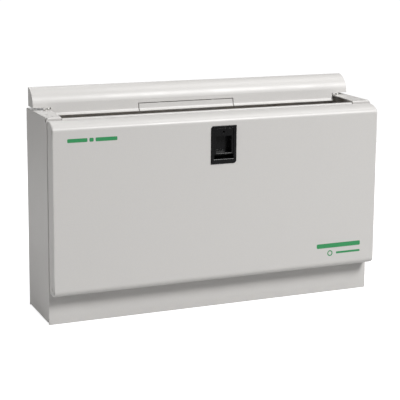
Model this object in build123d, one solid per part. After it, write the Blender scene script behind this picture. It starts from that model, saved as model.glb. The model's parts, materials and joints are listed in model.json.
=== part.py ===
from build123d import *
import os

# A one-row breaker panel box in folded sheet steel. All lengths are in millimetres: X runs along the row of
# breakers, Y from the door to the wall and Z up. The origin is on the floor under the middle of the whole box.

# Sheet metal
SHEET = 1.2
FOLD = 2.0  # outside radius of a folded edge
HALF_WIDTH = 230.0
BACK_Y = 59.0
BODY_TOP = 266.0
COVER_FRONT = -36.0
COVER_BACK = COVER_FRONT + SHEET
COVER_TOP = 263.9
RIM_DEPTH, RIM_RADIUS = 5.0, 1.8  # the cover's top edge folds back over this depth
SIDE_BOTTOM = 2.0
FLANGE_INNER = 207.0  # inner edge of the top flanges
CORNER_LEFT, CORNER_RIGHT = 210.5, 202.5  # how far out the top's front corners begin
CORNER_BACK = 5.0
CORNER_RADIUS = 5.0
CORNER_SLIT = 1.0

# Hood over the rear half of the top
HOOD_HALF = 229.0
HOOD_BACK = 52.0
HOOD_TOP = 293.6
HOOD_BOTTOM = 269.0
HOOD_RADIUS = 24.3
HOOD_CENTRE_BEHIND = 1.5  # how far the arc's centre lies behind the hood's back
HOOD_SLOPE = 78.0  # degrees from level, on the hood's lower face
APRON_HALF = 205.5
APRON_BOTTOM = 259.4
LIP_HEIGHT, LIP_FLARE = 3.0, 2.6
KNOCKOUT_LEFT, KNOCKOUT_RIGHT, KNOCKOUT_TOP = -86.0, 52.0, 269.2
KNOCKOUT_SLIT = 1.1
FOOT_SCREW_X, FOOT_LENGTH, FOOT_HALF = 211.0, 9.0, 4.2

# Door
DOOR_HALF = 229.0
DOOR_FRONT = -58.0
DOOR_BACK = -37.4
DOOR_BOTTOM = 41.0
DOOR_TOP = 262.2
DOOR_FLAT_TOP = 251.6
DOOR_BOTTOM_RADIUS = 8.0
LIP_BACK = -44.0
LIP_HALF = 200.0
HEM = 9.0
HINGE_Y, HINGE_Z = -50.0, 50.0
PIN_RADIUS = 2.45
RUNNING_CLEARANCE = 0.05

# Latch
BEZEL_FRONT = -59.0
BEZEL_HALF = 18.0
BEZEL_BOTTOM, BEZEL_TOP = 197.0, 247.0
SLEEVE_HALF, SLEEVE_BACK = 16.0, -45.0
SLOT_HALF, SLOT_BOTTOM, SLOT_TOP = 13.8, 203.7, 244.0
SLIDER_HALF, SLIDER_BOTTOM, SLIDER_TOP = 13.4, 208.9, 243.7
SLIDER_FRONT, SLIDER_BACK = -58.4, -46.6
SCOOP_HALF, SCOOP_BOTTOM, SCOOP_TOP = 11.0, 211.2, 233.5
BOLT_TOP = 220.2
KEEPER_LIP = 221.0

# Row of devices on a 35 mm rail
MODULE = 18.0
MODULE_GAP = 0.4
ROW_LEFT = -198.0
BREAKERS = 12
SWITCH_MODULES = 2
ROW_MODULES = 22
ROW_Z = 140.0
NOSE_FRONT, NOSE_HALF = -38.4, 22.2
SHOULDER_Y, DEVICE_HALF = -33.4, 43.0
DEVICE_BACK = 28.0
RAIL_FRONT, RAIL_DEPTH, RAIL_HALF, RAIL_SHEET = 22.0, 7.5, 17.5, 1.0
RAIL_LENGTH = 404.0
TOGGLE_Y, TOGGLE_RADIUS, TOGGLE_REACH, TOGGLE_ANGLE = -35.4, 5.0, 14.0, 38.0
BREAKER_TOGGLE, SWITCH_TOGGLE = 7.0, 16.0
APERTURE_HALF = 22.8

# Terminal bars
BAR_FRONT, BAR_BACK, BAR_BOTTOM, BAR_TOP = 8.0, 18.0, 205.0, 215.0
BAR_START, BAR_WAYS, BAR_PITCH = 30.0, 14, 11.5
BAR_END = BAR_START + BAR_WAYS * BAR_PITCH

# Fixings
WALL_HOLE, WALL_X, WALL_LOW, WALL_HIGH = 3.0, 170.0, 52.0, 232.0
COVER_SCREW_X, COVER_SCREW_Z = 219.0, (95.0, 240.0)

FLANGE_HOLES, FLANGE_HOLE = ((220, -27), (221.5, -8), (221.5, 46)), 1.7

RIM_BACK, RIM_LOW = COVER_FRONT + RIM_DEPTH, COVER_TOP - 2 * RIM_RADIUS
CORNER_OUTER = CORNER_LEFT + 4  # inside both corners' solid part


def block(x0, x1, y0, y1, z0, z1):
    size = (x1 - x0, y1 - y0, z1 - z0)
    return Pos((x0 + x1) / 2, (y0 + y1) / 2, (z0 + z1) / 2) * Box(*size)


def mirrored(shape):
    """The shape and its mirror image across the middle plane X = 0."""
    return shape + mirror(shape, Plane.YZ)


def along_x(outline, x0, x1):
    """A solid that runs from x0 to x1, whose outline is a closed curve drawn in (y, z)."""
    return Pos(x0, 0, 0) * extrude(make_face(Plane.YZ * outline), x1 - x0, dir=(1, 0, 0))


def prism(points, x0, x1):
    return along_x(Polyline(*points, close=True), x0, x1)


def rod_x(x0, x1, y, z, radius):
    return Pos((x0 + x1) / 2, y, z) * Rot(0, 90, 0) * Cylinder(radius, x1 - x0)


def rod_y(x, y0, y1, z, radius):
    return Pos(x, (y0 + y1) / 2, z) * Rot(90, 0, 0) * Cylinder(radius, y1 - y0)


def rod_z(x, y, z0, z1, radius):
    return Pos(x, y, (z0 + z1) / 2) * Cylinder(radius, z1 - z0)


def group(solids):
    """Separate solids that share one node."""
    return Compound(children=list(solids))


def at_face(shape, axis, place):
    """Edges that lie at one place along an axis."""
    return shape.edges().filter_by_position(axis, place - 0.01, place + 0.01)


# ---- Fixed sheet metal ----


def tray(half, y0, y1, z0, z1, radius):
    """A block whose two rear upright edges are rounded, as a folded tray's outside or inside."""
    body = block(-half, half, y0, y1, z0, z1)
    rear = at_face(body, Axis.Y, y1).filter_by(Axis.Z)
    return fillet(rear, radius)


def corner_gusset(side, edge):
    """The sloping inner edge of one top flange, from the cover's rim back to the straight part."""
    outline = Polyline(
        (side * edge, RIM_BACK), (side * FLANGE_INNER, CORNER_BACK),
        (side * CORNER_OUTER, CORNER_BACK), (side * CORNER_OUTER, RIM_BACK), close=True,
    )
    return Pos(0, 0, BODY_TOP - SHEET) * extrude(make_face(outline), SHEET, dir=(0, 0, 1))


def rear_box():
    shell = tray(HALF_WIDTH, COVER_BACK, BACK_Y, 0, BODY_TOP, FOLD)
    inside = tray(HALF_WIDTH - SHEET, COVER_BACK - 1, BACK_Y - SHEET, -1, BODY_TOP + 1, FOLD - SHEET)
    shell -= inside
    # The sides stop short of the floor, so the box stands on its front and back edges.
    shell -= block(-HALF_WIDTH - 1, HALF_WIDTH + 1, COVER_BACK - 1, BACK_Y - FOLD, -1, SIDE_BOTTOM)
    inner = HALF_WIDTH - SHEET
    floor = block(-inner, inner, COVER_BACK, BACK_Y - SHEET, SIDE_BOTTOM, SIDE_BOTTOM + SHEET)
    for x, radius in ((-120, 12.5), (-60, 10), (0, 16), (60, 10), (120, 12.5)):
        ring = rod_z(x, 12, SIDE_BOTTOM - 1, SIDE_BOTTOM + 0.5, radius)
        floor -= ring - rod_z(x, 12, SIDE_BOTTOM - 1, SIDE_BOTTOM + 1, radius - 0.7)
    flange = block(FLANGE_INNER, inner + 0.01, CORNER_BACK, BACK_Y - SHEET, BODY_TOP - SHEET, BODY_TOP)
    flange += block(CORNER_LEFT, inner + 0.01, RIM_BACK, CORNER_BACK, BODY_TOP - SHEET, BODY_TOP)
    for x, y in FLANGE_HOLES:
        flange -= rod_z(x, y, BODY_TOP - 2, BODY_TOP + 1, FLANGE_HOLE)
    flange -= rod_z(FOOT_SCREW_X, foot_screw_y(), BODY_TOP - 2, BODY_TOP + 1, FLANGE_HOLE)
    front_return = block(214, inner + 0.01, COVER_BACK, COVER_BACK + SHEET, SIDE_BOTTOM, RIM_LOW)
    for z in COVER_SCREW_Z:
        front_return -= rod_y(COVER_SCREW_X, COVER_BACK - 1, COVER_BACK + 3, z, 2.1)
    box = shell + floor + mirrored(flange) + mirrored(front_return)
    for side, edge in ((-1, CORNER_LEFT), (1, CORNER_RIGHT)):
        box += corner_gusset(side, edge)
    for x in (-WALL_X, WALL_X):
        for z in (WALL_LOW, WALL_HIGH):
            box -= rod_y(x, BACK_Y - 5, BACK_Y + 5, z, WALL_HOLE)
    # Relief notches in the lower corners of the sides.
    notch = block(HALF_WIDTH - 2, HALF_WIDTH + 1, COVER_BACK - 1, COVER_BACK + 3, 0, SIDE_BOTTOM + 3)
    box -= mirrored(notch)
    # The cover's folded corners sit in front of the sides at the top, whose outer edges are folds.
    box -= mirrored(
        block(FLANGE_INNER, HALF_WIDTH + 1, COVER_BACK - 1, RIM_BACK, RIM_LOW, BODY_TOP + 1)
    )
    top_edges = at_face(box, Axis.Z, BODY_TOP).filter_by(Axis.Y)
    return fillet([e for e in top_edges if abs(abs(e.center().X) - HALF_WIDTH) < 0.01], 1.1)


def folded_rim(x0, x1, top):
    """The cover's top edge: a strip of the plate that folds back with a rounded front."""
    strip = prism(
        [(COVER_FRONT, RIM_LOW), (COVER_FRONT, top), (RIM_BACK, top), (RIM_BACK, top - SHEET),
         (COVER_BACK, top - SHEET), (COVER_BACK, RIM_LOW)],
        x0, x1,
    )
    along = strip.edges().filter_by(Axis.X)
    outside = along.filter_by_position(Axis.Z, top - 0.01, top + 0.01).sort_by(Axis.Y)[0]
    inside = along.filter_by_position(Axis.Z, top - SHEET - 0.01, top - SHEET + 0.01).sort_by(Axis.Y)[0]
    return fillet(inside, RIM_RADIUS - SHEET).fillet(RIM_RADIUS, [outside])


def front_cover():
    """The fixed front: the plinth below the door and, behind it, the plate that the devices look through."""
    plate = block(-HALF_WIDTH, HALF_WIDTH, COVER_FRONT, COVER_BACK, 0, RIM_LOW)
    front_upright = at_face(plate, Axis.Y, COVER_FRONT).filter_by(Axis.Z)
    plate = fillet(front_upright, 1.0)
    plate += block(-HALF_WIDTH + 3, HALF_WIDTH - 3, COVER_BACK, COVER_BACK + 14, 0, SHEET)
    plate += folded_rim(CORNER_SLIT - CORNER_LEFT, CORNER_RIGHT - CORNER_SLIT, COVER_TOP)
    plate += folded_rim(-HALF_WIDTH, -CORNER_LEFT, BODY_TOP)
    plate += folded_rim(CORNER_RIGHT, HALF_WIDTH, BODY_TOP)
    middle = HALF_WIDTH - CORNER_RADIUS
    outside = block(
        middle, HALF_WIDTH + 1, COVER_FRONT - 1, RIM_BACK + 1, BODY_TOP - CORNER_RADIUS, BODY_TOP + 1
    ) - rod_y(middle, COVER_FRONT - 2, RIM_BACK + 2, BODY_TOP - CORNER_RADIUS, CORNER_RADIUS)
    plate -= mirrored(outside)
    aperture_right = ROW_LEFT + ROW_MODULES * MODULE + 0.6
    plate -= block(
        ROW_LEFT - 0.6, aperture_right, COVER_FRONT - 1, COVER_BACK + 1,
        ROW_Z - APERTURE_HALF, ROW_Z + APERTURE_HALF,
    )
    for x in (-COVER_SCREW_X, COVER_SCREW_X):
        for z in COVER_SCREW_Z:
            plate -= rod_y(x, COVER_FRONT - 1, COVER_BACK + 1, z, 2.6)
    return plate


def cover_screws():
    screws = []
    for x in (-COVER_SCREW_X, COVER_SCREW_X):
        for z in COVER_SCREW_Z:
            screw = rod_y(x, COVER_FRONT, COVER_FRONT + 9, z, 2.05)
            head = rod_y(x, COVER_FRONT - 2.4, COVER_FRONT, z, 4.5)
            head = fillet(at_face(head, Axis.Y, COVER_FRONT - 2.4), 1.0)
            head -= block(x - 4, x + 4, COVER_FRONT - 3, COVER_FRONT - 1.2, z - 0.6, z + 0.6)
            screws.append(screw + head)
    return group(screws)


# ---- Hood ----


def hood_outline(inset, bottom):
    """The hood's outside, or its inside when inset, down to a level bottom, as one closed wire."""
    radius = HOOD_RADIUS - inset
    centre = Vector(HOOD_BACK + HOOD_CENTRE_BEHIND, HOOD_TOP - HOOD_RADIUS)
    back = HOOD_BACK - inset
    rise = (radius**2 - (centre.X - back) ** 2) ** 0.5
    start = Vector(back, centre.Y + rise)
    end = centre + Vector(-radius, 0).rotate(Axis.Z, -(90 - HOOD_SLOPE))
    middle_angle = 90 + (HOOD_SLOPE + 3) / 2
    middle = centre + Vector(radius, 0).rotate(Axis.Z, middle_angle)
    run = (end.Y - bottom) / tan_degrees(HOOD_SLOPE)
    low = Vector(end.X - run, bottom)
    return [
        Line(Vector(back, bottom), start),
        ThreePointArc(start, middle, end),
        Line(end, low),
        Line(low, Vector(back, bottom)),
    ]


def tan_degrees(angle):
    direction = Vector(1, 0).rotate(Axis.Z, angle)
    return direction.Y / direction.X


def hood_solid(inset, bottom, x0, x1):
    return along_x(Curve() + hood_outline(inset, bottom), x0, x1)


def apron_y(z):
    """Where the outside of the hood's lower face is at a height."""
    centre = Vector(HOOD_BACK + HOOD_CENTRE_BEHIND, HOOD_TOP - HOOD_RADIUS)
    end = centre + Vector(-HOOD_RADIUS, 0).rotate(Axis.Z, -(90 - HOOD_SLOPE))
    return end.X - (end.Y - z) / tan_degrees(HOOD_SLOPE)


def foot_screw_y():
    return apron_y(BODY_TOP) + 0.5 - FOOT_LENGTH / 2


def knockout_block(margin):
    return block(
        KNOCKOUT_LEFT + margin, KNOCKOUT_RIGHT - margin, HOOD_BACK - 40, HOOD_BACK - 10,
        APRON_BOTTOM - 4, KNOCKOUT_TOP - margin,
    )


def rolled_lip(x0, x1):
    """The lip along the foot of the apron, which curls out towards the door."""
    top = APRON_BOTTOM + LIP_HEIGHT
    start = Vector(apron_y(top), top)
    tip = Vector(apron_y(APRON_BOTTOM) - LIP_FLARE, APRON_BOTTOM)
    back = Vector(apron_y(APRON_BOTTOM) + SHEET / 2, APRON_BOTTOM)
    down = Vector(apron_y(APRON_BOTTOM) - apron_y(top), -LIP_HEIGHT)
    outline = Curve() + [
        TangentArc(start, tip, tangent=down),
        Line(tip, tip - Vector(0, 0.8)),
        Line(tip - Vector(0, 0.8), back - Vector(0, 0.8)),
        Line(back - Vector(0, 0.8), start + Vector(SHEET / 2, 0)),
        Line(start + Vector(SHEET / 2, 0), start),
    ]
    return along_x(outline, x0, x1)


def hood_sheet():
    """The hood's curved sheet, with closed ends, before its knock-out is cut."""
    outer = hood_solid(0, HOOD_BOTTOM, -HOOD_HALF, HOOD_HALF)
    inner = hood_solid(SHEET, HOOD_BOTTOM - 1, -HOOD_HALF + SHEET, HOOD_HALF - SHEET)
    apron = hood_solid(0, APRON_BOTTOM, -APRON_HALF, APRON_HALF)
    apron -= hood_solid(SHEET, APRON_BOTTOM - 1, -APRON_HALF - 1, APRON_HALF + 1)
    apron -= block(-APRON_HALF - 1, APRON_HALF + 1, HOOD_BACK - 5, HOOD_BACK + 1, 0, HOOD_BOTTOM)
    return (outer - inner) + apron


def top_hood():
    hood = hood_sheet() + rolled_lip(-APRON_HALF, APRON_HALF)
    hood -= knockout_block(0)
    foot_back = apron_y(BODY_TOP) + 0.5
    x0, x1 = FOOT_SCREW_X - FOOT_HALF, FOOT_SCREW_X + FOOT_HALF
    foot = block(x0, x1, foot_back - FOOT_LENGTH, foot_back, BODY_TOP, BODY_TOP + SHEET)
    foot -= rod_z(FOOT_SCREW_X, foot_screw_y(), BODY_TOP - 1, BODY_TOP + 3, 1.7)
    # Each foot hangs from the hood's lower face by a short tab.
    tab = hood_solid(0, BODY_TOP, x0, x1) - hood_solid(SHEET, BODY_TOP - 1, x0 - 1, x1 + 1)
    tab &= block(x0, x1, 0, HOOD_BACK - 10, BODY_TOP, HOOD_BOTTOM + 1)
    return hood + mirrored(foot + tab)


def hood_knockout():
    """The tab that breaks out of the apron, still held by two small bridges."""
    sheet = (hood_sheet() + rolled_lip(-APRON_HALF, APRON_HALF)) & knockout_block(KNOCKOUT_SLIT)
    bridges = [
        block(x - 1.5, x + 1.5, apron_y(KNOCKOUT_TOP) + 0.5, apron_y(KNOCKOUT_TOP) + 1.0,
              KNOCKOUT_TOP - KNOCKOUT_SLIT - 0.5, KNOCKOUT_TOP)
        for x in (KNOCKOUT_LEFT + 30, KNOCKOUT_RIGHT - 30)
    ]
    return sheet + bridges[0] + bridges[1]


def hood_screws():
    y = foot_screw_y()
    top = BODY_TOP + SHEET
    screws = []
    for x in (-FOOT_SCREW_X, FOOT_SCREW_X):
        head = rod_z(x, y, top, top + 1.8, 3.0)
        head = fillet(at_face(head, Axis.Z, top + 1.8), 0.8)
        head -= block(x - 0.4, x + 0.4, y - 2.6, y + 2.6, top + 0.9, top + 3)
        screws.append(head + rod_z(x, y, BODY_TOP - SHEET + 0.05, top, 1.6))
    return group(screws)


# ---- Door ----


def door_outline(inset):
    """The door's outside, or its inside when inset, as one closed curve of (y, z) points."""
    front, bottom, top = DOOR_FRONT + inset, DOOR_BOTTOM + inset, DOOR_TOP - inset
    radius = DOOR_BOTTOM_RADIUS - inset
    corner = Vector(front + radius, bottom + radius)
    back = DOOR_BACK + (5 if inset else 0)
    diagonal = corner + Vector(-radius, 0).rotate(Axis.Z, 45)
    nose = EllipticalCenterArc(
        (DOOR_BACK, DOOR_FLAT_TOP), DOOR_BACK - front, top - DOOR_FLAT_TOP, start_angle=90, arc_size=90
    )
    return Curve() + [
        Line(Vector(back, bottom), Vector(corner.X, bottom)),
        ThreePointArc(Vector(corner.X, bottom), diagonal, Vector(front, corner.Y)),
        Line(Vector(front, corner.Y), Vector(front, DOOR_FLAT_TOP)),
        nose,
        Polyline((DOOR_BACK, top), (back, top), (back, bottom)) if inset
        else Line(Vector(DOOR_BACK, top), Vector(back, bottom)),
    ]


def door_panel():
    outer = along_x(door_outline(0), -DOOR_HALF, DOOR_HALF)
    front_edges = [
        edge for edge in outer.edges()
        if abs(abs(edge.center().X) - DOOR_HALF) < 0.01 and edge.center().Y < DOOR_FRONT + 0.5
    ]
    outer = fillet(front_edges, 1.8)
    inner_half = DOOR_HALF - SHEET
    inner = along_x(door_outline(SHEET), -inner_half, inner_half)
    hem = block(-inner_half, inner_half, DOOR_BACK - SHEET, DOOR_BACK, DOOR_TOP - HEM, DOOR_TOP - 0.3)
    panel = (outer - inner) + hem
    # Behind the lip the bottom is open, and beyond the lip's ends only the rounded corner is left.
    open_bottom = block(-inner_half, inner_half, LIP_BACK, 0, 0, DOOR_BOTTOM + SHEET + 0.01)
    end = block(LIP_HALF, inner_half, HINGE_Y, 0, 0, DOOR_BOTTOM + SHEET + 0.01)
    heel = prism(
        [(DOOR_BACK + 1, HINGE_Z), (DOOR_BACK, HINGE_Z), (-42, DOOR_BOTTOM), (-42, DOOR_BOTTOM - 1),
         (DOOR_BACK + 1, DOOR_BOTTOM - 1)],
        -DOOR_HALF - 1, DOOR_HALF + 1,
    )
    panel = panel - open_bottom - mirrored(end) - heel
    panel -= mirrored(rod_x(inner_half - 1, DOOR_HALF + 1, HINGE_Y, HINGE_Z, PIN_RADIUS + RUNNING_CLEARANCE))
    # Relief slots where the folds meet at the corners.
    for z in (DOOR_FLAT_TOP - 1, DOOR_BOTTOM + DOOR_BOTTOM_RADIUS):
        panel -= mirrored(
            block(inner_half - 0.1, DOOR_HALF + 1, DOOR_FRONT + 0.6, DOOR_FRONT + 2.1, z - 2.7, z + 2.7)
        )
    latch_hole = 0.3
    panel -= block(
        -SLEEVE_HALF - latch_hole, SLEEVE_HALF + latch_hole, DOOR_FRONT - 1, DOOR_FRONT + 3,
        BEZEL_BOTTOM + 2 - latch_hole, BEZEL_TOP - 2 + latch_hole,
    )
    return panel


def circuit_chart():
    back = DOOR_FRONT + SHEET
    return block(-205, -45, back, back + 0.4, 100, 205)


def hinge_bracket(side):
    """A lug that carries the door's pivot pin, on a foot against the front cover."""
    x0, x1 = 222.5, 225.0
    boss = rod_x(x0, x1, HINGE_Y, HINGE_Z, 5.5)
    arm = prism(
        [(-54.6, 52), (-50, 56), (-44.5, 67), (-38, 74), (COVER_FRONT, 74), (COVER_FRONT, 60),
         (-40, 58.5), (-46.2, 53.9), (-50, 50)],
        x0, x1,
    )
    foot = block(206, x1, COVER_FRONT - 2, COVER_FRONT, 58.5, 74)
    bracket = boss + arm + foot
    for z in (62.5, 70):
        rivet = rod_y(212, COVER_FRONT - 3, COVER_FRONT - 2, z, 2.2)
        bracket += fillet(at_face(rivet, Axis.Y, COVER_FRONT - 3), 0.8)
    bracket -= rod_x(x0 - 1, x1 + 1, HINGE_Y, HINGE_Z, PIN_RADIUS)
    return bracket if side > 0 else mirror(bracket, Plane.YZ)


def hinge_pin(side):
    head = rod_x(220.3, 222.5, HINGE_Y, HINGE_Z, 4.0)
    head = fillet(at_face(head, Axis.X, 220.3), 0.9)
    shank = rod_x(222.5, DOOR_HALF - 0.1, HINGE_Y, HINGE_Z, PIN_RADIUS)
    pin = head + shank
    return pin if side > 0 else mirror(pin, Plane.YZ)


# ---- Latch ----


def latch_bezel():
    flange = block(-BEZEL_HALF, BEZEL_HALF, BEZEL_FRONT, DOOR_FRONT, BEZEL_BOTTOM, BEZEL_TOP)
    upright = flange.edges().filter_by(Axis.Y)
    keyed = [
        edge for edge in upright
        if (edge.center().X < 0) == (edge.center().Z > ROW_Z + 80)
    ]
    flange = chamfer(keyed, 2.5)
    flange = chamfer(at_face(flange, Axis.Y, BEZEL_FRONT), 0.4)
    sleeve = block(
        -SLEEVE_HALF, SLEEVE_HALF, DOOR_FRONT, SLEEVE_BACK, BEZEL_BOTTOM + 2, BEZEL_TOP - 2
    )
    bezel = flange + sleeve
    bezel -= block(-SLOT_HALF, SLOT_HALF, BEZEL_FRONT - 1, SLEEVE_BACK - SHEET, SLOT_BOTTOM, SLOT_TOP)
    sill = [
        edge for edge in at_face(bezel, Axis.Y, BEZEL_FRONT).filter_by(Axis.X)
        if abs(edge.center().Z - SLOT_BOTTOM) < 0.01
    ]
    bezel = fillet(sill, 1.4)
    bezel -= block(-4.6, 4.6, SLEEVE_BACK - 2, SLEEVE_BACK + 1, 207, 233)
    snap = prism([(-56.5, 0), (-54.5, 0), (-54.5, 1.0), (-56.0, 1.0)], 0, 12)
    snaps = Pos(-6, 0, BEZEL_TOP - 2) * snap + mirror(
        Pos(-6, 0, -BEZEL_BOTTOM - 2) * snap, Plane.XY
    )
    return bezel + snaps


def latch_slider():
    """The finger grip, with the stem and the bolt behind it that hooks the keeper."""
    grip = block(-SLIDER_HALF, SLIDER_HALF, SLIDER_FRONT, SLIDER_BACK, SLIDER_BOTTOM, SLIDER_TOP)
    grip = chamfer(at_face(grip, Axis.Y, SLIDER_FRONT).filter_by(Axis.X), 0.6)
    scoop = prism(
        [(SLIDER_FRONT - 1, SCOOP_TOP), (-49.0, SCOOP_TOP), (-49.0, SCOOP_BOTTOM + 3),
         (-50.2, SCOOP_BOTTOM + 1.8), (SLIDER_FRONT, SCOOP_BOTTOM), (SLIDER_FRONT - 1, SCOOP_BOTTOM)],
        -SCOOP_HALF, SCOOP_HALF,
    )
    grip -= scoop
    finger_edge = [
        edge for edge in at_face(grip, Axis.Y, SLIDER_FRONT).filter_by(Axis.X)
        if abs(edge.center().Z - SCOOP_BOTTOM) < 0.01
    ]
    grip = fillet(finger_edge, 1.1)
    grip -= rod_y(0, SLIDER_FRONT - 1, SLIDER_FRONT + 3, 239, 1.4)
    stem = block(-4, 4, SLIDER_BACK, -43.8, 215, 231)
    hook = block(-8, 8, -43.8, -41.8 - 0.4, 208, 231)
    bolt = block(-8, 8, -43.8, -38.2, 208, 211) + block(-8, 8, -40.4, -38.2, 208, BOLT_TOP)
    return grip + stem + hook + bolt


def latch_spring():
    """A flat steel leaf on the back of the bezel that pushes the slider's hook up."""
    y0 = SLEEVE_BACK + 0.05
    leaf = block(-3, 3, y0, y0 + 0.4, 199.5, 205)
    leaf += prism([(y0, 204.6), (y0 + 0.4, 204.6), (-42.6, 207.3), (-42.6, 207.8)], -3, 3)
    return leaf


def latch_keeper():
    """The bracket on the front cover that the bolt hooks, with its lip turned down."""
    keeper = block(-10, 10, COVER_FRONT - SHEET, COVER_FRONT, 219, 240)
    keeper += block(-10, 10, -42, COVER_FRONT - SHEET, 226, 226 + SHEET)
    keeper += block(-10, 10, -42, -42 + SHEET, KEEPER_LIP, 226 + SHEET)
    for x in (-5.5, 5.5):
        rivet = rod_y(x, COVER_FRONT - SHEET - 0.9, COVER_FRONT - SHEET, 234, 2.0)
        keeper += fillet(at_face(rivet, Axis.Y, COVER_FRONT - SHEET - 0.9), 0.7)
    return keeper


# ---- Devices on the rail ----


def din_rail():
    front, back = RAIL_FRONT, RAIL_FRONT + RAIL_DEPTH
    wall = RAIL_HALF - 4.0
    half = RAIL_LENGTH / 2
    rail = block(-half, half, back - RAIL_SHEET, back, ROW_Z - wall, ROW_Z + wall)
    for sign in (-1, 1):
        low, high = sorted((ROW_Z + sign * wall, ROW_Z + sign * (wall - RAIL_SHEET)))
        rail += block(-half, half, front, back, low, high)
        low, high = sorted((ROW_Z + sign * RAIL_HALF, ROW_Z + sign * (wall - RAIL_SHEET)))
        rail += block(-half, half, front, front + RAIL_SHEET, low, high)
    for x in (-196, 196):
        rail -= rod_y(x, back - 3, back + 3, ROW_Z, 2.1)
    return rail


def rail_support(side):
    back = RAIL_FRONT + RAIL_DEPTH
    shelf = block(189, 205, back, back + SHEET, ROW_Z - 12, ROW_Z + 12)
    web = block(205 - SHEET, 205, back, BACK_Y - SHEET, ROW_Z - 12, ROW_Z + 12)
    foot = block(205 - SHEET, 222, BACK_Y - 2 * SHEET, BACK_Y - SHEET, ROW_Z - 12, ROW_Z + 12)
    support = shelf + web + foot
    support -= rod_y(196, back - 1, back + 3, ROW_Z, 1.95)
    return support if side > 0 else mirror(support, Plane.YZ)


def rail_screws():
    base = RAIL_FRONT + RAIL_DEPTH - RAIL_SHEET
    screws = []
    for x in (-196, 196):
        head = fillet(at_face(rod_y(x, base - 2.2, base, ROW_Z, 3.8), Axis.Y, base - 2.2), 1.0)
        head -= block(x - 3, x + 3, base - 3, base - 1.1, ROW_Z - 0.5, ROW_Z + 0.5)
        screws.append(head + rod_y(x, base, base + 8, ROW_Z, 1.95))
    return group(screws)


def device_body(x0, modules, toggle_width):
    """A rail-mounted device: a nose through the cover, shoulders with terminals and a slot for the rail."""
    x1 = x0 + modules * MODULE
    low, high = x0 + MODULE_GAP / 2, x1 - MODULE_GAP / 2
    recess = RAIL_HALF + 0.6
    outline = [
        (NOSE_FRONT, NOSE_HALF), (SHOULDER_Y, NOSE_HALF), (SHOULDER_Y + 0.6, DEVICE_HALF),
        (DEVICE_BACK - 3, DEVICE_HALF), (DEVICE_BACK, DEVICE_HALF - 3), (DEVICE_BACK, recess),
        (RAIL_FRONT - 0.1, recess), (RAIL_FRONT - 0.1, -recess), (DEVICE_BACK, -recess),
        (DEVICE_BACK, -DEVICE_HALF + 3), (DEVICE_BACK - 3, -DEVICE_HALF), (SHOULDER_Y + 0.6, -DEVICE_HALF),
        (SHOULDER_Y, -NOSE_HALF), (NOSE_FRONT, -NOSE_HALF),
    ]
    body = prism([(y, ROW_Z + z) for y, z in outline], low, high)
    body = fillet(at_face(body, Axis.Y, NOSE_FRONT).filter_by(Axis.X), 1.2)
    middle = (x0 + x1) / 2
    half_slot = toggle_width / 2 + 0.15
    body -= rod_x(
        middle - half_slot, middle + half_slot, TOGGLE_Y, ROW_Z, TOGGLE_RADIUS + RUNNING_CLEARANCE
    )
    body -= block(
        middle - half_slot, middle + half_slot, NOSE_FRONT - 1, TOGGLE_Y, ROW_Z - 8.5, ROW_Z + 8.5
    )
    for n in range(modules):
        x = x0 + (n + 0.5) * MODULE
        for sign in (-1, 1):
            body -= rod_y(x, SHOULDER_Y - 1, SHOULDER_Y + 9, ROW_Z + sign * 32.5, 3.0)
        body -= rod_z(x, -20, ROW_Z + DEVICE_HALF - 9, ROW_Z + DEVICE_HALF + 1, 3.7)
        body -= block(
            x - 3.2, x + 3.2, -21.8, -16.2, ROW_Z - DEVICE_HALF - 1, ROW_Z - DEVICE_HALF + 9
        )
    return body


def toggle(middle, width):
    """A lever on a round barrel, standing up in the on position."""
    reach = Vector(-TOGGLE_REACH, 0).rotate(Axis.Z, -TOGGLE_ANGLE)
    side = Vector(0, 2.1).rotate(Axis.Z, -TOGGLE_ANGLE)
    root = Vector(-2.0, 0).rotate(Axis.Z, -TOGGLE_ANGLE)
    corners = [root - side * 1.3, reach - side * 0.9, reach + side * 0.9, root + side * 1.3]
    lever = prism(
        [(TOGGLE_Y + c.X, ROW_Z + c.Y) for c in corners], middle - width / 2, middle + width / 2
    )
    tip = [edge for edge in lever.edges().filter_by(Axis.X) if edge.center().Y < TOGGLE_Y - 8]
    lever = fillet(tip, 1.2)
    return lever + rod_x(middle - width / 2, middle + width / 2, TOGGLE_Y, ROW_Z, TOGGLE_RADIUS)


def blanking_plate(x0):
    x1 = ROW_LEFT + ROW_MODULES * MODULE
    face = block(x0 + 0.3, x1, COVER_FRONT - 1.6, COVER_FRONT, ROW_Z - 25, ROW_Z + 25)
    face = fillet(at_face(face, Axis.Y, COVER_FRONT - 1.6), 0.5)
    ribs = block(x0 + 0.8, x1 - 0.4, COVER_FRONT, COVER_BACK + 2, ROW_Z - 22.6, ROW_Z - 21.4)
    ribs += block(x0 + 0.8, x1 - 0.4, COVER_FRONT, COVER_BACK + 2, ROW_Z + 21.4, ROW_Z + 22.6)
    plate = face + ribs
    for n in range(1, round((x1 - x0) / MODULE)):
        x = x0 + n * MODULE
        plate -= block(x - 0.25, x + 0.25, COVER_FRONT - 2, COVER_FRONT - 1.2, ROW_Z - 26, ROW_Z + 26)
    return plate


def way_label_strip():
    x1 = ROW_LEFT + ROW_MODULES * MODULE
    return block(ROW_LEFT, x1, COVER_FRONT - 0.5, COVER_FRONT, ROW_Z + 26.5, ROW_Z + 36.5)


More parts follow.
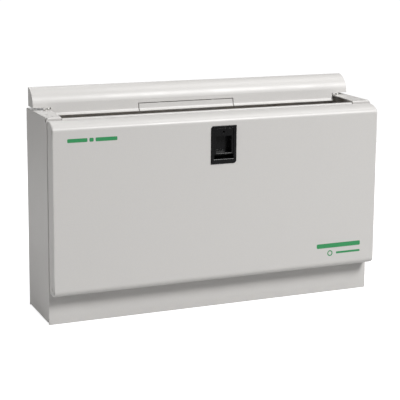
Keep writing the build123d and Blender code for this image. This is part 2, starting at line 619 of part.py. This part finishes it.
def busbar_comb():
    """A copper strip under the devices, with one tooth up into each of their lower terminals."""
    low, high = ROW_LEFT + MODULE * (SWITCH_MODULES - 1), ROW_LEFT + MODULE * (SWITCH_MODULES + BREAKERS)
    bar = block(low + 2, high - 2, -20, -18, 84, ROW_Z - DEVICE_HALF - 3)
    for n in range(SWITCH_MODULES - 1, SWITCH_MODULES + BREAKERS):
        x = ROW_LEFT + (n + 0.5) * MODULE
        bar += block(x - 2, x + 2, -20, -18, ROW_Z - DEVICE_HALF - 3, ROW_Z - DEVICE_HALF + 7)
    return bar


def busbar_insulator():
    low, high = ROW_LEFT + MODULE * (SWITCH_MODULES - 1), ROW_LEFT + MODULE * (SWITCH_MODULES + BREAKERS)
    channel = block(low + 0.5, high - 0.5, -22, -16, 82, ROW_Z - DEVICE_HALF - 1.5)
    return channel - block(low + 1.8, high - 1.8, -20.05, -17.95, 83.9, ROW_Z)


# ---- Terminal bars ----


def terminal_bar(side):
    bar = block(BAR_START, BAR_END, BAR_FRONT, BAR_BACK, BAR_BOTTOM, BAR_TOP)
    for n in range(BAR_WAYS):
        x = BAR_START + (n + 0.5) * BAR_PITCH
        bar -= rod_z(x, BAR_FRONT + 6, BAR_BOTTOM - 1, BAR_TOP + 1, 2.6)
        bar -= rod_y(x, BAR_FRONT - 1, BAR_FRONT + 5, (BAR_BOTTOM + BAR_TOP) / 2, 2.1)
    return bar if side > 0 else mirror(bar, Plane.YZ)


def terminal_screws(side):
    middle = (BAR_BOTTOM + BAR_TOP) / 2
    screws = []
    for n in range(BAR_WAYS):
        x = side * (BAR_START + (n + 0.5) * BAR_PITCH)
        screw = rod_y(x, BAR_FRONT - 1.5, BAR_FRONT + 2.5, middle, 2.05)
        screws.append(screw - block(x - 3, x + 3, BAR_FRONT - 2, BAR_FRONT - 0.7, middle - 0.4, middle + 0.4))
    return group(screws)


def bar_supports():
    posts = []
    for x in (BAR_START + 3, BAR_END - 15):
        post = block(x, x + 12, BAR_BACK, BACK_Y - SHEET, BAR_BOTTOM - 2, BAR_TOP + 2)
        posts += [post, mirror(post, Plane.YZ)]
    return group(posts)


def neutral_link():
    """The insulated lead from the main switch's upper terminal to the neutral bar."""
    x = ROW_LEFT + 1.5 * MODULE
    terminal_z = ROW_Z + DEVICE_HALF
    route = FilletPolyline(
        (x, -20, terminal_z - 8), (x, -20, terminal_z + 14), (x, 14, BAR_BOTTOM - 7.5),
        (x, 14, BAR_BOTTOM), radius=6.5,
    )
    return sweep(Plane(origin=route @ 0, z_dir=route % 0) * Circle(2.4), path=route)


def earth_stud():
    """A welded stud with a nut and washer for the incoming earth, on the back panel."""
    x, z, inner = 205.0, 70.0, BACK_Y - SHEET
    stud = rod_y(x, inner - 16, inner, z, 3.0)
    washer = rod_y(x, inner - 1.6, inner, z, 6.2)
    nut = Pos(x, inner - 4.1, z) * Rot(90, 0, 0) * extrude(RegularPolygon(5.6, 6), 2.5, both=True)
    return stud + washer + nut


def write(shape, name):
    export_step(shape, f"parts/{name}.step")


def main():
    os.makedirs("parts", exist_ok=True)
    first_breaker = ROW_LEFT + SWITCH_MODULES * MODULE
    switch_middle = (ROW_LEFT + first_breaker) / 2
    after_breakers = first_breaker + BREAKERS * MODULE
    nodes = {
        "rear_box": rear_box(),
        "front_cover": front_cover(),
        "cover_screws": cover_screws(),
        "top_hood": top_hood(),
        "hood_knockout": hood_knockout(),
        "hood_screws": hood_screws(),
        "door_panel": door_panel(),
        "circuit_chart": circuit_chart(),
        "hinge_bracket_left": hinge_bracket(-1),
        "hinge_bracket_right": hinge_bracket(1),
        "hinge_pin_left": hinge_pin(-1),
        "hinge_pin_right": hinge_pin(1),
        "latch_bezel": latch_bezel(),
        "latch_slider": latch_slider(),
        "latch_spring": latch_spring(),
        "latch_keeper": latch_keeper(),
        "din_rail": din_rail(),
        "rail_support_left": rail_support(-1),
        "rail_support_right": rail_support(1),
        "rail_screws": rail_screws(),
        "main_switch_body": device_body(ROW_LEFT, SWITCH_MODULES, SWITCH_TOGGLE),
        "main_switch_toggle": toggle(switch_middle, SWITCH_TOGGLE),
        "blanking_plate": blanking_plate(after_breakers),
        "way_label_strip": way_label_strip(),
        "busbar_comb": busbar_comb(),
        "busbar_insulator": busbar_insulator(),
        "neutral_bar": terminal_bar(-1),
        "neutral_bar_screws": terminal_screws(-1),
        "earth_bar": terminal_bar(1),
        "earth_bar_screws": terminal_screws(1),
        "bar_supports": bar_supports(),
        "neutral_link": neutral_link(),
        "earth_stud": earth_stud(),
    }
    for n in range(BREAKERS):
        left = first_breaker + n * MODULE
        nodes[f"breaker_body_{n + 1:02d}"] = device_body(left, 1, BREAKER_TOGGLE)
        nodes[f"breaker_toggle_{n + 1:02d}"] = toggle(left + MODULE / 2, BREAKER_TOGGLE)
    for name, shape in nodes.items():
        write(shape, name)


main()
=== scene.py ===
import bmesh
import bpy
import json
import math
from mathutils import Matrix, Vector


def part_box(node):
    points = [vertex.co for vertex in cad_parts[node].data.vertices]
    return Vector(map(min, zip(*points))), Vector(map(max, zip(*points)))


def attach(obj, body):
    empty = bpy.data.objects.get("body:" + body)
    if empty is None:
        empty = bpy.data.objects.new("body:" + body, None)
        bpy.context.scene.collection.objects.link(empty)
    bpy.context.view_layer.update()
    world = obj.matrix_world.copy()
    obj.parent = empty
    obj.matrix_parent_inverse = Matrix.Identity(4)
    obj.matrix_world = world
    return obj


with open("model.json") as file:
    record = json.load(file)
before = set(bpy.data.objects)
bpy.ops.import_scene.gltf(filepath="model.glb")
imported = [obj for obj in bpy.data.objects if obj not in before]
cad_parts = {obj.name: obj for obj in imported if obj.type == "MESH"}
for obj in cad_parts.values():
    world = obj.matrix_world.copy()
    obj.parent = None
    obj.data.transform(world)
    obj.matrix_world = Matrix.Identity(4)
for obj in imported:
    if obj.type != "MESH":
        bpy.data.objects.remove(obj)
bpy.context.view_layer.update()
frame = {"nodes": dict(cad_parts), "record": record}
nodes = frame["nodes"]

# ---- Camera, in metres and degrees ----

CAMERA_PLACE = (-0.6350, -1.4807, 0.4995)
CAMERA_YAW, CAMERA_PITCH, CAMERA_ROLL = 22.924, 9.892, 0.411
CAMERA_LENS, CAMERA_SHIFT = 110.09, -0.15


def turn(axis, degrees):
    return Matrix.Rotation(math.radians(degrees), 4, axis)


def make_camera():
    data = bpy.data.cameras.new("camera")
    data.lens = CAMERA_LENS
    data.shift_y = CAMERA_SHIFT
    data.clip_start, data.clip_end = 0.05, 60
    camera = bpy.data.objects.new("camera", data)
    bpy.context.scene.collection.objects.link(camera)
    camera.matrix_world = (
        Matrix.Translation(CAMERA_PLACE)
        @ turn("Z", -CAMERA_YAW)
        @ turn("X", 90 - CAMERA_PITCH)
        @ turn("Z", CAMERA_ROLL)
    )
    bpy.context.scene.camera = camera


# ---- Studio ----

FILL, FLOOR_LIFT = 0.03, 0.85


def area_light(name, direction, distance, size, power, aim=(0, 0, 0.15)):
    data = bpy.data.lights.new(name, "AREA")
    data.shape = "DISK"
    data.size = size
    data.energy = power
    lamp = bpy.data.objects.new(name, data)
    bpy.context.scene.collection.objects.link(lamp)
    towards = Vector(direction).normalized()
    lamp.location = Vector(aim) + towards * distance
    lamp.rotation_mode = "QUATERNION"
    lamp.rotation_quaternion = towards.to_track_quat("Z", "Y")


def make_world(fill):
    """White where the camera sees it, and a plain grey fill for the light on the object."""
    world = bpy.data.worlds.new("studio")
    bpy.context.scene.world = world
    world.use_nodes = True
    tree = world.node_tree
    tree.nodes.clear()
    out = tree.nodes.new("ShaderNodeOutputWorld")
    mix = tree.nodes.new("ShaderNodeMixShader")
    path = tree.nodes.new("ShaderNodeLightPath")
    seen = tree.nodes.new("ShaderNodeBackground")
    light = tree.nodes.new("ShaderNodeBackground")
    seen.inputs["Color"].default_value = (1, 1, 1, 1)
    seen.inputs["Strength"].default_value = 1.05
    light.inputs["Color"].default_value = (1, 0.99, 0.975, 1)
    light.inputs["Strength"].default_value = fill
    tree.links.new(path.outputs["Is Camera Ray"], mix.inputs["Fac"])
    tree.links.new(light.outputs[0], mix.inputs[1])
    tree.links.new(seen.outputs[0], mix.inputs[2])
    tree.links.new(mix.outputs[0], out.inputs["Surface"])


def make_floor():
    """A pale disc that throws back an ordinary share of the light and stays near white to the camera."""
    bpy.ops.mesh.primitive_circle_add(vertices=96, radius=1.3, fill_type="NGON", location=(0, 0, -0.0004))
    floor = bpy.context.object
    floor.name = "floor"
    mat = bpy.data.materials.new("floor_white")
    mat.use_nodes = True
    tree = mat.node_tree
    shader = tree.nodes["Principled BSDF"]
    shader.inputs["Base Color"].default_value = (0.62, 0.62, 0.62, 1)
    shader.inputs["Roughness"].default_value = 0.9
    shader.inputs["Specular IOR Level"].default_value = 0.1
    shader.inputs["Emission Color"].default_value = (1, 1, 1, 1)
    glow = tree.nodes.new("ShaderNodeMath")
    glow.operation = "MULTIPLY"
    glow.inputs[1].default_value = FLOOR_LIFT
    path = tree.nodes.new("ShaderNodeLightPath")
    tree.links.new(path.outputs["Is Camera Ray"], glow.inputs[0])
    tree.links.new(glow.outputs[0], shader.inputs["Emission Strength"])
    floor.data.materials.append(mat)


def make_studio():
    make_world(FILL)
    make_floor()
    area_light("key", (0.38, -0.655, 0.655), 3.2, 1.05, 89)
    area_light("overhead", (0.375, 0, 0.927), 2.2, 1.0, 11)
    area_light("back_top", (0, 0.8, 0.9), 2.2, 1.2, 7)
    area_light("left_fill", (-1, -0.1, 0.45), 2.2, 1.2, 13.5)
    area_light("rear_fill", (0.35, 1, 0.12), 2.4, 1.2, 9)
    scene = bpy.context.scene
    scene.view_settings.view_transform = "Standard"
    scene.view_settings.look = "None"


# ---- Materials ----


class Recipe:
    """A small helper that builds one procedural material, in object coordinates (metres)."""

    def __init__(self, name, colour, roughness, metallic=0.0):
        self.material = bpy.data.materials.new(name)
        self.material.use_nodes = True
        self.tree = self.material.node_tree
        self.shader = self.tree.nodes["Principled BSDF"]
        self.colour = colour
        self.shader.inputs["Base Color"].default_value = (*colour, 1)
        self.shader.inputs["Roughness"].default_value = roughness
        self.shader.inputs["Metallic"].default_value = metallic
        self.roughness = roughness
        self.coords = self.tree.nodes.new("ShaderNodeTexCoord").outputs["Object"]

    def noise(self, size, detail=2.0, stretch=(1, 1, 1)):
        """Noise whose grains are about size metres across."""
        node = self.tree.nodes.new("ShaderNodeTexNoise")
        node.inputs["Scale"].default_value = 1.0 / size
        node.inputs["Detail"].default_value = detail
        source = self.coords
        if stretch != (1, 1, 1):
            mapping = self.tree.nodes.new("ShaderNodeMapping")
            mapping.inputs["Scale"].default_value = stretch
            self.tree.links.new(source, mapping.inputs["Vector"])
            source = mapping.outputs["Vector"]
        self.tree.links.new(source, node.inputs["Vector"])
        return node.outputs["Fac"]

    def spread(self, value, low, high):
        """Maps noise, which stays mostly between 0.3 and 0.7, to low..high."""
        node = self.tree.nodes.new("ShaderNodeMapRange")
        node.inputs["From Min"].default_value = 0.3
        node.inputs["From Max"].default_value = 0.7
        node.inputs["To Min"].default_value = low
        node.inputs["To Max"].default_value = high
        self.tree.links.new(value, node.inputs["Value"])
        return node.outputs["Result"]

    def vary_colour(self, value, amount, tint=(1, 1, 1)):
        """Lets the colour drift by the given share, towards tint where the noise is high."""
        ramp = self.tree.nodes.new("ShaderNodeValToRGB")
        ramp.color_ramp.elements[0].position = 0.3
        ramp.color_ramp.elements[1].position = 0.7
        dark = [c * (1 - amount) for c in self.colour]
        light = [min(1, c * (1 + amount) * t) for c, t in zip(self.colour, tint)]
        ramp.color_ramp.elements[0].color = (*dark, 1)
        ramp.color_ramp.elements[1].color = (*light, 1)
        self.tree.links.new(value, ramp.inputs["Fac"])
        self.tree.links.new(ramp.outputs["Color"], self.shader.inputs["Base Color"])

    def vary_roughness(self, value, amount):
        low, high = self.roughness - amount, self.roughness + amount
        self.tree.links.new(self.spread(value, low, high), self.shader.inputs["Roughness"])

    def bump(self, *layers, edge=0.0):
        """Height layers, each (value, height in metres), and rounded edges of a given radius."""
        normal = None
        if edge:
            node = self.tree.nodes.new("ShaderNodeBevel")
            node.samples = 6
            node.inputs["Radius"].default_value = edge
            normal = node.outputs["Normal"]
        for value, height in layers:
            node = self.tree.nodes.new("ShaderNodeBump")
            node.inputs["Strength"].default_value = 1.0
            node.inputs["Distance"].default_value = height
            self.tree.links.new(value, node.inputs["Height"])
            if normal:
                self.tree.links.new(normal, node.inputs["Normal"])
            normal = node.outputs["Normal"]
        self.tree.links.new(normal, self.shader.inputs["Normal"])

    def set(self, **sockets):
        for name, value in sockets.items():
            self.shader.inputs[name.replace("_", " ")].default_value = value
        return self


def powder_coat():
    """Satin light grey powder coat: fine orange peel, faint mottling and a soft clear sheen."""
    r = Recipe("powder_coat", (0.655, 0.640, 0.622), 0.38)
    r.vary_colour(r.noise(0.0016, 3), 0.012)
    r.vary_roughness(r.noise(0.03, 3), 0.035)
    r.bump((r.noise(0.0011, 2), 0.000030), (r.noise(0.00035, 1), 0.000008), edge=0.0005)
    r.set(Specular_IOR_Level=0.5)
    return r.material


def moulded_plastic(name, colour, roughness, shine=0.5, grain=0.00001, edge=0.0003):
    r = Recipe(name, colour, roughness)
    r.set(Specular_IOR_Level=shine)
    r.vary_colour(r.noise(0.004, 3), 0.03)
    r.vary_roughness(r.noise(0.012, 3), 0.04)
    r.bump((r.noise(0.0005, 2), grain), edge=edge)
    return r.material


def zinc_plate():
    r = Recipe("zinc_plate", (0.62, 0.62, 0.60), 0.34, metallic=1.0)
    r.vary_colour(r.noise(0.006, 4), 0.06, tint=(1.0, 1.0, 0.96))
    r.vary_roughness(r.noise(0.0015, 3), 0.08)
    r.bump((r.noise(0.0006, 2), 0.000006), edge=0.0002)
    return r.material


def drawn_metal(name, colour, roughness):
    """Extruded bar: fine lines along X from the die."""
    r = Recipe(name, colour, roughness, metallic=1.0)
    r.vary_colour(r.noise(0.005, 4), 0.08)
    r.vary_roughness(r.noise(0.0012, 3, stretch=(0.05, 1, 1)), 0.08)
    r.bump((r.noise(0.0006, 2, stretch=(0.03, 1, 1)), 0.000012), edge=0.0002)
    return r.material


def ink(name, colour):
    """Pad-printed ink: a thin, slightly uneven film."""
    r = Recipe(name, colour, 0.42)
    r.vary_colour(r.noise(0.0015, 3), 0.06)
    r.vary_roughness(r.noise(0.004, 3), 0.05)
    r.bump((r.noise(0.0006, 2), 0.000006))
    return r.material


def card():
    r = Recipe("card", (0.83, 0.83, 0.80), 0.7)
    r.vary_colour(r.noise(0.002, 4), 0.02)
    r.vary_roughness(r.noise(0.004, 3), 0.04)
    r.bump((r.noise(0.0004, 3), 0.00001))
    return r.material


MATERIALS = {
    "painted_steel": powder_coat(),
    "latch_black": moulded_plastic("latch_black", (0.005, 0.005, 0.0056), 0.27, shine=0.3, edge=0.0002),
    "device_plastic": moulded_plastic("device_plastic", (0.70, 0.70, 0.68), 0.45),
    "toggle_black": moulded_plastic("toggle_black", (0.02, 0.02, 0.022), 0.3),
    "switch_red": moulded_plastic("switch_red", (0.42, 0.02, 0.015), 0.3),
    "zinc_steel": zinc_plate(),
    "brass": drawn_metal("brass", (0.70, 0.50, 0.22), 0.28),
    "copper": drawn_metal("copper", (0.78, 0.40, 0.27), 0.3),
    "insulator_grey": moulded_plastic("insulator_grey", (0.22, 0.23, 0.24), 0.5),
    "lead_blue": moulded_plastic("lead_blue", (0.03, 0.13, 0.42), 0.42),
    "label_white": moulded_plastic("label_white", (0.80, 0.80, 0.78), 0.5),
    "chart_paper": card(),
}
GREEN_INK = ink("green_ink", (0.035, 0.30, 0.105))
DARK_INK = ink("dark_ink", (0.03, 0.032, 0.036))
GREY_INK = ink("grey_ink", (0.30, 0.31, 0.32))


def dress_nodes():
    for part in frame["record"]["subparts"]:
        node = nodes[part["node"]]
        node.data.materials.clear()
        node.data.materials.append(MATERIALS[part["material_slot"]])
        for face in node.data.polygons:
            face.material_index = 0


# ---- Printed marks ----

FILM = 0.00008  # how far a printed mark stands off its surface
RULE_HALF = 0.00015  # half the width of a ruled line
# On a device's face, measured up or down from its middle; up is on.
ON_LOW, ON_HIGH, ON_HALF = 0.0102, 0.0132, 0.0003
OFF_BELOW, OFF_OUTER, OFF_INNER = 0.0118, 0.0016, 0.0011
BAND_LOW, BAND_HIGH, BAND_MARGIN = 0.0178, 0.0192, 0.0016
PRINT_BELOW, PRINT_PITCH, PRINT_HEIGHT = 0.0158, 0.0017, 0.0005
PRINT_HALVES = (0.0052, 0.0038, 0.0046)  # half the length of each line of print
SWITCH_SCALE = 1.5  # the main switch carries wider marks than a breaker
FACING_FRONT = Matrix(((1, 0, 0), (0, 0, -1), (0, 1, 0)))
FACING_BACK = Matrix(((1, 0, 0), (0, 0, 1), (0, -1, 0)))


class Marks:
    """One mesh of thin closed plates, laid out in (right, up) metres on a flat face."""

    def __init__(self, name, facing, face_y):
        self.name, self.facing, self.face_y = name, facing, face_y
        self.mesh = bmesh.new()

    def place(self, right, up, out):
        spot = self.facing @ Vector((right, up, out))
        spot.y += self.face_y
        return spot

    def plate(self, outline):
        near = [self.mesh.verts.new(self.place(x, z, FILM)) for x, z in outline]
        far = [self.mesh.verts.new(self.place(x, z, 0)) for x, z in outline]
        self.mesh.faces.new(near)
        self.mesh.faces.new(far[::-1])
        for i, j in zip(range(len(outline)), [*range(1, len(outline)), 0]):
            self.mesh.faces.new((near[j], near[i], far[i], far[j]))

    def bar(self, x0, x1, z0, z1, radius=0.0):
        """A rectangle, with rounded corners if a radius is given."""
        outline = []
        for x, z, start in ((x1, z0, -90), (x1, z1, 0), (x0, z1, 90), (x0, z0, 180)):
            if not radius:
                outline.append((x, z))
                continue
            centre = (x - radius if x == x1 else x + radius, z - radius if z == z1 else z + radius)
            for step in range(6):
                angle = math.radians(start + 18 * step)
                outline.append((centre[0] + radius * math.cos(angle), centre[1] + radius * math.sin(angle)))
        self.plate(outline)

    def ring(self, x, z, outer, inner, steps=28):
        loops = []
        for radius, out in ((outer, FILM), (inner, FILM), (inner, 0), (outer, 0)):
            angles = [2 * math.pi * n / steps for n in range(steps)]
            loops.append([
                self.mesh.verts.new(self.place(x + radius * math.cos(a), z + radius * math.sin(a), out))
                for a in angles
            ])
        for first, second in zip(loops, loops[1:] + loops[:1]):
            for i in range(steps):
                j = (i + 1) % steps
                self.mesh.faces.new((first[i], first[j], second[j], second[i]))

    def digits(self, text, x, z, height):
        """Plain figures centred on a spot."""
        curve = bpy.data.curves.new("digits", "FONT")
        curve.body = text
        curve.align_x = curve.align_y = "CENTER"
        curve.size = height / 0.7
        curve.extrude = FILM / 2
        curve.resolution_u = 4
        letters = bpy.data.objects.new("digits", curve)
        bpy.context.scene.collection.objects.link(letters)
        solid_letters = letters.evaluated_get(bpy.context.evaluated_depsgraph_get())
        shape = bpy.data.meshes.new_from_object(solid_letters)
        for vertex in shape.vertices:
            right, up, out = vertex.co
            vertex.co = self.place(x + right, z + up, out + FILM / 2)
        self.mesh.from_mesh(shape)
        bpy.data.objects.remove(letters)
        bpy.data.meshes.remove(shape)
        bpy.data.curves.remove(curve)

    def finish(self, material, body):
        bmesh.ops.remove_doubles(self.mesh, verts=self.mesh.verts, dist=1e-7)
        bmesh.ops.recalc_face_normals(self.mesh, faces=self.mesh.faces)
        data = bpy.data.meshes.new(self.name)
        self.mesh.to_mesh(data)
        self.mesh.free()
        data.materials.append(material)
        piece = bpy.data.objects.new(self.name, data)
        bpy.context.scene.collection.objects.link(piece)
        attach(piece, body)


def door_marks():
    """Plain green bars where a maker would print a name, with no lettering."""
    marks = Marks("door_marks", FACING_FRONT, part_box("door_panel")[0][1])
    left, low, high = -0.210, 0.2370, 0.2418
    for start, end in ((0, 0.026), (0.0285, 0.034), (0.0365, 0.0650)):
        marks.bar(left + start, left + end, low, high, radius=0.0012)
    right = 0.207
    marks.bar(0.140, right, 0.0690, 0.0752, radius=0.0016)
    marks.bar(0.170, right, 0.0600, 0.0628, radius=0.0008)
    marks.ring(0.1605, 0.0614, outer=0.0040, inner=0.0026)
    marks.finish(GREEN_INK, "door")


def way_numbers():
    (x0, y0, z0), (x1, _, z1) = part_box("way_label_strip")
    marks = Marks("way_numbers", FACING_FRONT, y0)
    for n in range(1, 13):
        (left, _, _), (right, _, _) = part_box(f"breaker_body_{n:02d}")
        marks.digits(str(n), (left + right) / 2, (z0 + z1) / 2, 0.0048)
        seam = left - 0.0002  # the middle of the gap between two devices
        marks.bar(seam - RULE_HALF, seam + RULE_HALF, z0 + 0.001, z1 - 0.001)
    marks.finish(DARK_INK, "box")


def device_marks():
    """On each device: a bar and a ring for on and off, a coloured band and three lines of plain print."""
    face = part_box("breaker_body_01")[0][1]
    dark = Marks("device_symbols", FACING_FRONT, face)
    band = Marks("device_bands", FACING_FRONT, face)
    small = Marks("device_prints", FACING_FRONT, face)
    names = ["main_switch_body"] + [f"breaker_body_{n:02d}" for n in range(1, 13)]
    for name in names:
        (left, _, low), (right, _, high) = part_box(name)
        x, z = (left + right) / 2, (low + high) / 2
        scale = SWITCH_SCALE if name == "main_switch_body" else 1.0
        dark.bar(x - ON_HALF * scale, x + ON_HALF * scale, z + ON_LOW, z + ON_HIGH)
        dark.ring(x, z - OFF_BELOW, OFF_OUTER, OFF_INNER)
        band.bar(left + BAND_MARGIN, right - BAND_MARGIN, z + BAND_LOW, z + BAND_HIGH)
        for row, length in enumerate(PRINT_HALVES):
            half, foot = length * scale, z - PRINT_BELOW - PRINT_PITCH * row
            small.bar(x - half, x + half, foot, foot + PRINT_HEIGHT)
    dark.finish(DARK_INK, "box")
    band.finish(GREEN_INK, "box")
    small.finish(GREY_INK, "box")


def chart_lines():
    """The circuit chart's ruled table, which reads the right way up once the door has dropped open."""
    (x0, _, z0), (x1, y1, z1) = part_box("circuit_chart")
    marks = Marks("chart_lines", FACING_BACK, y1)
    margin, rows, gap = 0.005, 13, 0.0004
    left, right = x0 + margin, x1 - margin
    number_column, name_column = left + 0.012, left + 0.105
    pitch = (z1 - z0 - 2 * margin) / rows
    for n in range(rows + 1):
        line = -z0 - margin - n * pitch
        marks.bar(left, right, line - RULE_HALF, line + RULE_HALF)
        if 0 < n < rows:
            marks.digits(str(n), left + 0.006, line - pitch / 2, 0.0036)
    for x in (left, number_column, name_column, right):
        for n in range(rows):
            top = -z0 - margin - n * pitch - gap
            marks.bar(x - RULE_HALF, x + RULE_HALF, top - pitch + 2 * gap, top)
    marks.finish(GREY_INK, "door")


make_camera()
make_studio()
dress_nodes()
door_marks()
way_numbers()
device_marks()
chart_lines()
